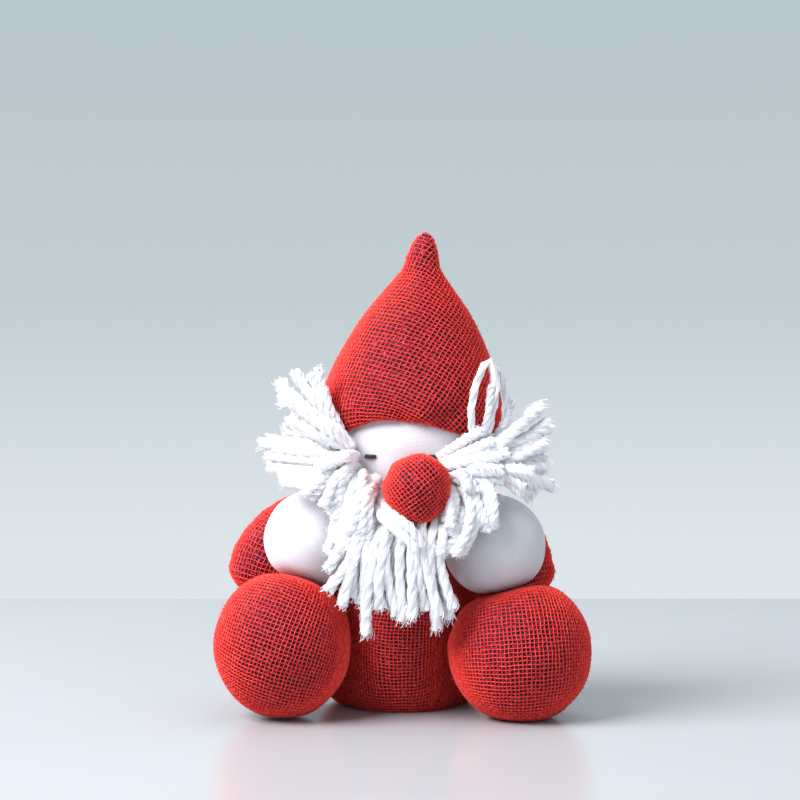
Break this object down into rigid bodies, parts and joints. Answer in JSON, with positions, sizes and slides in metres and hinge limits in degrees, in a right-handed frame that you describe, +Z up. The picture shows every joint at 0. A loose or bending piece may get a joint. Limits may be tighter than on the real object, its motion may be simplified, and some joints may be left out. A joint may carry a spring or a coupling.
{
  "type": "tomte gnome figurine",
  "caption": "Seated cloth gnome of stuffed, gathered balls with a pointed hat, a round nose and a yarn beard, sewn together with soft joints.",
  "frame": {"origin": "centre of the bounding box on the surface that the figure sits on", "axes": "+Z up, the face looks along -Y, +X to the figure's left"},
  "size_m": [0.0995, 0.0742, 0.1302],
  "materials": {
    "red_cloth": "open plain weave of red yarn over a dark backing, matt",
    "white_cloth": "fine plain-woven white cotton, matt",
    "yarn": "loosely spun white yarn with frayed ends",
    "wadding": "loose white wadding",
    "red_thread": "red sewing thread",
    "white_thread": "white sewing thread",
    "black_thread": "black embroidery thread in satin stitch",
    "pellet_bag": "plain cotton bag"
  },
  "bodies": {
    "torso": {"body_cover": "red_cloth", "body_filling": "wadding", "weight_bag": "pellet_bag", "neck_thread": "red_thread"},
    "head": {"head_cover": "white_cloth", "head_filling": "wadding", "hat_cover": "red_cloth", "hat_filling": "wadding", "nose_cover": "red_cloth", "nose_filling": "wadding", "nose_thread": "red_thread", "right_eye": "black_thread", "left_eye": "black_thread", "beard": "yarn", "right_whiskers": "yarn", "left_whiskers": "yarn", "right_upper_whiskers": "yarn", "left_upper_whiskers": "yarn"},
    "right_arm": {"right_sleeve": "red_cloth", "right_sleeve_filling": "wadding", "right_hand_cover": "white_cloth", "right_hand_filling": "wadding", "right_wrist_thread": "white_thread"},
    "left_arm": {"left_sleeve": "red_cloth", "left_sleeve_filling": "wadding", "left_hand_cover": "white_cloth", "left_hand_filling": "wadding", "left_wrist_thread": "white_thread"},
    "right_leg": {"right_foot_cover": "red_cloth", "right_foot_filling": "wadding", "right_ankle_thread": "red_thread"},
    "left_leg": {"left_foot_cover": "red_cloth", "left_foot_filling": "wadding", "left_ankle_thread": "red_thread"}
  },
  "joints": [
    {"name": "neck_turn", "type": "hinge", "parent": "torso", "child": "head", "pos_m": [0.0026, 0.003, 0.0461], "axis": [0, 0, 1], "range_deg": [-15, 15], "stiffness_Nm_per_rad": 0.02, "deforming": ["beard"]},
    {"name": "right_shoulder", "type": "hinge", "parent": "torso", "child": "right_arm", "pos_m": [-0.022, 0.016, 0.05], "axis": [-0.5, 0, -0.866], "range_deg": [0, 35], "deforming": ["right_whiskers"]},
    {"name": "left_shoulder", "type": "hinge", "parent": "torso", "child": "left_arm", "pos_m": [0.0225, 0.018, 0.0495], "axis": [-0.5, 0, 0.866], "range_deg": [0, 35], "deforming": ["left_whiskers"]},
    {"name": "right_hip", "type": "hinge", "parent": "torso", "child": "right_leg", "pos_m": [-0.01662, -0.00368, 0.01968], "axis": [0, 0, 1], "range_deg": [-12, 6], "stiffness_Nm_per_rad": 0.02},
    {"name": "left_hip", "type": "hinge", "parent": "torso", "child": "left_leg", "pos_m": [0.01593, -0.0034, 0.01876], "axis": [0, 0, 1], "range_deg": [-6, 12], "stiffness_Nm_per_rad": 0.02}
  ]
}
